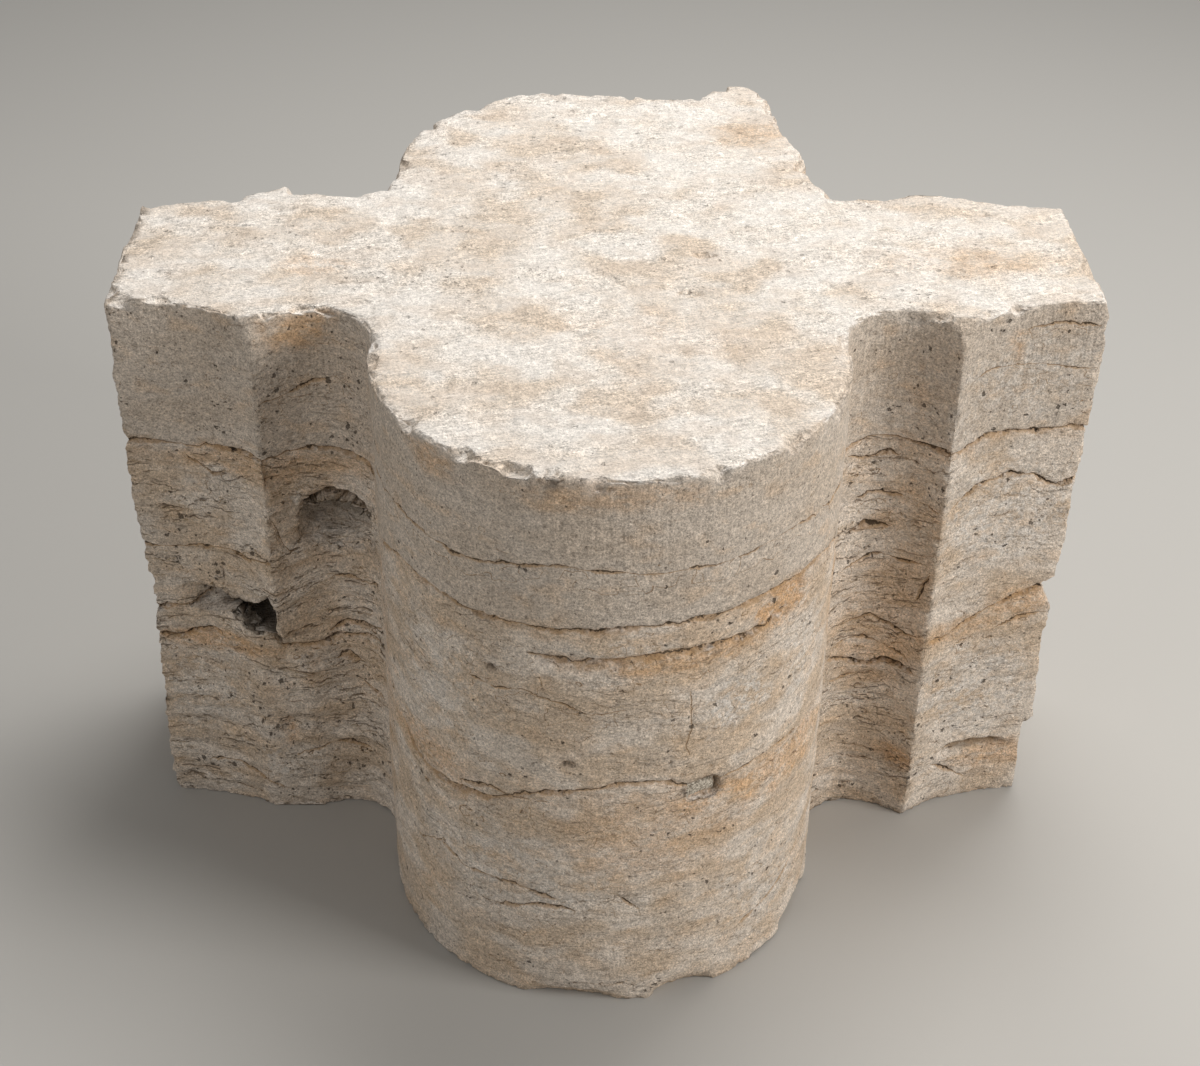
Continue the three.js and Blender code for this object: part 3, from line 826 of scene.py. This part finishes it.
def travertine_material(colours, names):
    """Travertine, tooled by hand and long weathered: a matt, porous limestone in thin wavy beds. It shows
    a salt and pepper grain, dark pores, hair-thin brown beds, open cracks and rusty stains. The cavities
    have painted shade, the pores and cracks are darkened partly by painted shade, and the top is painted
    paler for the light from above."""
    material = bpy.data.materials.new("Travertine, tooled and weathered")
    material.use_nodes = True
    tree = material.node_tree
    tree.nodes.clear()
    g = StoneGraph(tree, names)
    put = g.put
    stored = g.stored
    rough = stored["rough_stone"]
    top = stored["top_face"]
    side = put("minus", 1.0, top)
    stain = stored["stain"]

    # Hair-thin beds and small curved cracks, in patches
    beds = g.grain(g.bedded, (38, 38, 4.2), 2, 0.6)
    lined = put("plus", put("times", put("ramp", stored["lined"], -0.15, 0.35), 0.8), 0.2)
    lined = put("times", lined, put("ramp", rough, 0.0, 0.8), put("plus", put("times", side, 0.9), 0.1))
    hair_lines = put("times", g.creases((20, 20, 6), 0.04), lined)
    scale_lines = put("times", g.creases((10, 10, 4.2), 0.05), lined)

    # Open cracks: their dark core, partly dirt and partly painted shade in the opening, and the brown of
    # the dust and rust beside them
    wobble = put("times", put("minus", g.grain(g.place, (3.4, 3.4, 3.4), 2, 0.6), 0.5), 7.0)
    core = None
    halo = None
    for number in range(BED_SETS + 1):
        gap = put("plus", stored[f"bed_gap_{number}"], wobble)
        core_here = g.line(gap, 0.0, 0.5, 1.5)
        halo_here = g.line(gap, -1.2, 0.5, 5.0)
        core = core_here if core is None else put("most", core, core_here)
        halo = halo_here if halo is None else put("most", halo, halo_here)
    vein = stored["vein"]
    core = put("times", put("most", core, put("times", g.line(vein, 0.0, 0.02, 0.1), 0.8)), side)
    halo = put("times", put("most", halo, put("times", g.line(vein, 0.0, 0.05, 0.35), 0.4)), side)

    # Pinholes and small pores, dark partly from dirt and partly from painted shade in the holes
    crowd = put("ramp", stored["crowded"], -0.1, 0.35)
    open_stone = put("times", crowd, stored["pitted_stone"])
    pinholes = g.pits(3.0, put("plus", put("times", open_stone, 0.8), put("times", side, 0.03)))
    holes = g.pits(5.5, put("times", open_stone, 0.75))
    pores = put("times", put("most", pinholes, holes), put("plus", put("times", side, 0.65), 0.35))
    pores = put("most", pores, put("times", stored["pore"], 0.6))

    # The body of the stone: pale, tan and grey clouds, drawn out along the beds. The top and the chipped
    # rim take more of the pale colour, as painted light from above
    palest = put("plus", put("times", top, 0.1), 0.55)
    pale = put("times", put("ramp", stored["clouds"], -0.36, 0.3), palest)
    pale = put("plus", pale, put("times", top, 0.35))
    colour = put("blend", pale, colours.tan, colours.pale)
    smoke = put("ramp", stored["smoke"], -0.1, 0.5)
    grey = put("most", put("times", stored["grey_bed"], 0.75), put("times", smoke, 0.45, side))
    colour = put("blend", grey, colour, colours.grey)
    frost = put("ramp", g.grain(g.place, (7, 7, 6), 2, 0.7), 0.42, 0.6)
    colour = put("blend", put("times", stored["grey_patch"], frost, 0.7), colour, colours.ash)
    rust = put("ramp", stored["rust"], 0.12, 0.6)
    rust = put("times", rust, put("plus", put("times", side, 0.2), 0.1))
    colour = put("blend", rust, colour, colours.rust)
    blotch = put("ramp", g.grain(g.place, (9, 9, 5), 3, 0.7), 0.34, 0.56)
    blotched = put("times", stain, put("plus", put("times", blotch, 0.6), 0.25))
    colour = put("blend", blotched, colour, colours.ochre)
    streaks = put("times", put("ramp", beds, 0.54, 0.72), put("plus", put("times", rough, 0.22), 0.04))
    colour = put("blend", streaks, colour, colours.brown)

    # Salt and pepper grain
    fine = g.grain(g.place, (1.5, 1.5, 1.3), 2, 0.9)
    coarse = g.grain(g.place, (5, 5, 3.4), 2, 0.65)
    colour = put("shade", colour, put("plus", put("times", fine, 2.4), -0.2))
    colour = put("shade", colour, put("plus", put("times", coarse, 1.0), 0.5))

    # The top is frosted white in places, and dusty between the chisel's strokes
    along_stroke = put("plus", g.x, put("times", g.y, 0.3))
    across_stroke = put("minus", g.y, put("times", g.x, 0.3))
    strokes = g.grain(put("vector", along_stroke, across_stroke, g.z), (15, 2.4, 20), 2, 0.6)
    worn = put("ramp", stored["frosted"], -0.3, 0.36)
    colour = put("shade", colour, put("plus", put("times", put("minus", strokes, 0.5), top, 0.8), 1.0))
    colour = put("blend", put("times", worn, top, 0.35), colour, colours.frost)
    dust = put("ramp", stored["dusty"], -0.06, 0.48)
    colour = put("blend", put("times", dust, top, 0.28), colour, colours.dust)

    # Lines and pores. The dark of the pores and of the cracks' cores is partly dirt and partly painted
    # shade
    colour = put("blend", put("times", halo, 0.45), colour, colours.ochre)
    colour = put("blend", put("times", halo, halo, 0.3), colour, colours.brown)
    colour = put("blend", put("times", scale_lines, 0.7), colour, colours.brown)
    colour = put("blend", put("times", hair_lines, 0.7), colour, colours.line)
    colour = put("blend", put("times", pores, 0.8), colour, colours.pore)
    colour = put("blend", put("times", core, 0.85), colour, colours.crack)
    mortar = put("blend", put("ramp", fine, 0.4, 0.6), colours.grit, colours.mortar)
    colour = put("blend", put("ramp", stored["mortar"], 0.35, 0.65), colour, mortar)
    # Painted shade in the cavities, under their roofs and round the socket, in the pores' colour and
    # mottled by the coarse grain
    grime = put("times", stored["grime"], put("plus", put("times", coarse, 0.8), 0.45))
    colour = put("blend", grime, colour, colours.pore)

    # Relief too fine for the mesh, in millimetres
    claw = g.grain(put("vector", stored["along"], 0.0, g.z), (3.4, 1, 45), 1)
    tooled = put("times", put("ramp", g.z, (TOOLED_ABOVE - 25) * MM, (TOOLED_ABOVE + 30) * MM), side)
    relief = put(
        "plus",
        put("times", fine, 0.6),
        put("times", coarse, put("plus", put("times", top, 0.8), 1.0)),
        put("times", beds, put("plus", put("times", rough, 1.3), 0.15), side),
        put("times", claw, put("plus", put("times", tooled, 0.9), 0.2), side),
        put("times", strokes, top, 2.8),
        put("times", hair_lines, -0.9),
        put("times", holes, -2.0),
    )
    bump = add(tree, "ShaderNodeBump", {"Height": relief, "Distance": MM, "Strength": 1.0})
    shader = add(
        tree,
        "ShaderNodeBsdfPrincipled",
        {"Base Color": colour, "Roughness": 0.92, "IOR": 1.5, "Normal": bump.outputs["Normal"]},
    )
    add(tree, "ShaderNodeOutputMaterial", {"Surface": shader.outputs["BSDF"]})
    return material


class DrumSizes(bpy.types.PropertyGroup):
    face_size: bpy.props.FloatProperty(
        name="Face size", description="Size of the skin's faces before it is lightened",
        default=1.5 * MM, unit="LENGTH")


def hex_colour(name, description, default):
    return bpy.props.StringProperty(name=name, description=description, default=default)


class DrumColours(bpy.types.PropertyGroup):
    pale: hex_colour("Pale stone", "The cleanest stone", "#E4DCD3")
    tan: hex_colour("Tan stone", "The stone's warm body", "#CBB7A1")
    grey: hex_colour("Grey stone", "Cool, hard beds", "#C1B4A6")
    ash: hex_colour("Ash patches", "Pale, cool patches", "#D9D4CE")
    ochre: hex_colour("Ochre stain", "Strong stains", "#CB9C66")
    rust: hex_colour("Faint rust", "Faint warm patches", "#D3B390")
    brown: hex_colour("Brown beds", "Thin beds and halos", "#927A58")
    line: hex_colour("Fine lines", "Hair-thin beds", "#5C482F")
    # The pores' colour is partly dirt and partly painted shade, and it is also the painted shade of the
    # cavities
    pore: hex_colour("Pores", "Dirt in the pores", "#42382B")
    # The cracks' colour is partly dirt and partly painted shade in their openings
    crack: hex_colour("Cracks", "Dirt in the cracks", "#2E251A")
    dust: hex_colour("Dust", "Dusty patches on the top", "#D3C1B0")
    frost: hex_colour("Frost", "White patches on the top", "#F1EDE8")
    mortar: hex_colour("Mortar", "Mortar in the socket", "#DCD2C2")
    grit: hex_colour("Grit", "Dark grit in the mortar", "#8A7F70")
    floor: hex_colour("Floor", "The studio floor", "#B8B6B2")


class OBJECT_OT_travertine_drum(bpy.types.Operator):
    """Builds the weathered stone over the drum's solid"""

    bl_idname = "object.travertine_drum"
    bl_label = "Travertine drum"

    def execute(self, context):
        outline = Outline()
        mesh = fine_skin(context.scene.drum_sizes)
        skin = Skin(mesh, outline)
        set_points(mesh, weathered(skin))
        stone = bpy.data.objects.new("drum_stone", mesh)
        context.scene.collection.objects.link(stone)
        lighten(stone, skin)
        final = Skin(stone.data, outline)
        set_points(stone.data, final.points)
        names = mark(stone.data, final)
        stone.data.shade_smooth()
        stone.data.materials.clear()
        stone.data.materials.append(travertine_material(context.scene.drum_colours, names))
        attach(stone, "root")
        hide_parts(DRUM_NODE)
        return {"FINISHED"}


def camera_matrix():
    """Where the camera stands and which way it looks, as a matrix."""
    pitch, yaw, roll = (math.radians(a) for a in (CAMERA_PITCH, CAMERA_YAW, CAMERA_ROLL))
    forward = Vector((math.sin(yaw) * math.cos(pitch), math.cos(yaw) * math.cos(pitch), -math.sin(pitch)))
    level = Vector((math.cos(yaw), -math.sin(yaw), 0))
    above = level.cross(forward)
    right = math.cos(roll) * level + math.sin(roll) * above
    up = -math.sin(roll) * level + math.cos(roll) * above
    turn = Matrix((right, up, -forward)).transposed().to_4x4()
    return Matrix.Translation(Vector(CAMERA_AT_MM) * MM) @ turn


def soft_light(name, place, target, width, power, colour):
    """A square soft light that points at a place."""
    data = bpy.data.lights.new(name, "AREA")
    data.shape = "SQUARE"
    data.size = width
    data.energy = power
    data.color = linear(colour)[:3]
    light = bpy.data.objects.new(name, data)
    light.location = place
    light.rotation_euler = (Vector(target) - Vector(place)).to_track_quat("-Z", "Y").to_euler()
    bpy.context.scene.collection.objects.link(light)


class SCENE_OT_studio_stage(bpy.types.Operator):
    """Sets up the camera, the pale floor and the soft studio lights"""

    bl_idname = "scene.studio_stage"
    bl_label = "Studio stage"

    def execute(self, context):
        scene = context.scene
        data = bpy.data.cameras.new("photo_camera")
        data.sensor_fit = "HORIZONTAL"
        data.sensor_width = SENSOR_MM
        data.lens = FOCAL_PX * SENSOR_MM / PHOTO_WIDTH_PX
        camera = bpy.data.objects.new("photo_camera", data)
        camera.matrix_world = camera_matrix()
        scene.collection.objects.link(camera)
        scene.camera = camera

        mesh = bpy.data.meshes.new("studio_floor")
        half = 6.0
        corners = [(-half, -half, 0), (half, -half, 0), (half, half, 0), (-half, half, 0)]
        mesh.from_pydata(corners, [], [(0, 1, 2, 3)])
        floor = bpy.data.objects.new("studio_floor", mesh)
        floor.location.z = LOW.z - 0.5 * MM
        scene.collection.objects.link(floor)
        paper = bpy.data.materials.new("Matt studio paper")
        paper.use_nodes = True
        shader = paper.node_tree.nodes["Principled BSDF"]
        shader.inputs["Base Color"].default_value = linear(scene.drum_colours.floor)
        shader.inputs["Roughness"].default_value = 0.85
        mesh.materials.append(paper)

        middle = (0, 0, 0.25)
        soft_light("over_light", (0.4, 0.7, 2.3), middle, 1.2, 42, "#FFFDFA")
        soft_light("right_light", (2.1, -1.0, 1.2), middle, 0.9, 34, "#FFFCF8")
        soft_light("left_light", (-1.9, -1.8, 1.1), middle, 1.6, 10, "#FFFDFA")
        world = bpy.data.worlds.new("studio_air")
        world.use_nodes = True
        world.node_tree.nodes["Background"].inputs["Color"].default_value = (0.95, 0.94, 0.92, 1)
        world.node_tree.nodes["Background"].inputs["Strength"].default_value = 0.24
        scene.world = world
        scene.view_settings.view_transform = "Standard"
        return {"FINISHED"}


class VIEW3D_PT_pier_drum(bpy.types.Panel):
    """Lists the drum and its stage in the sidebar"""

    bl_label = "Pier drum"
    bl_idname = "VIEW3D_PT_pier_drum"
    bl_space_type = "VIEW_3D"
    bl_region_type = "UI"
    bl_category = "Pier drum"

    def draw(self, context):
        for group in (context.scene.drum_sizes, context.scene.drum_colours):
            for name in group.__annotations__:
                self.layout.prop(group, name)
        self.layout.operator(SCENE_OT_studio_stage.bl_idname)
        self.layout.operator(OBJECT_OT_travertine_drum.bl_idname)


CLASSES = (
    DrumSizes,
    DrumColours,
    OBJECT_OT_travertine_drum,
    SCENE_OT_studio_stage,
    VIEW3D_PT_pier_drum,
)


def register():
    for cls in CLASSES:
        bpy.utils.register_class(cls)
    bpy.types.Scene.drum_sizes = bpy.props.PointerProperty(type=DrumSizes)
    bpy.types.Scene.drum_colours = bpy.props.PointerProperty(type=DrumColours)


def unregister():
    del bpy.types.Scene.drum_colours
    del bpy.types.Scene.drum_sizes
    for cls in reversed(CLASSES):
        bpy.utils.unregister_class(cls)


def main():
    register()
    bpy.ops.scene.studio_stage()
    bpy.ops.object.travertine_drum()
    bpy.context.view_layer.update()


if __name__ == "__main__":
    main()
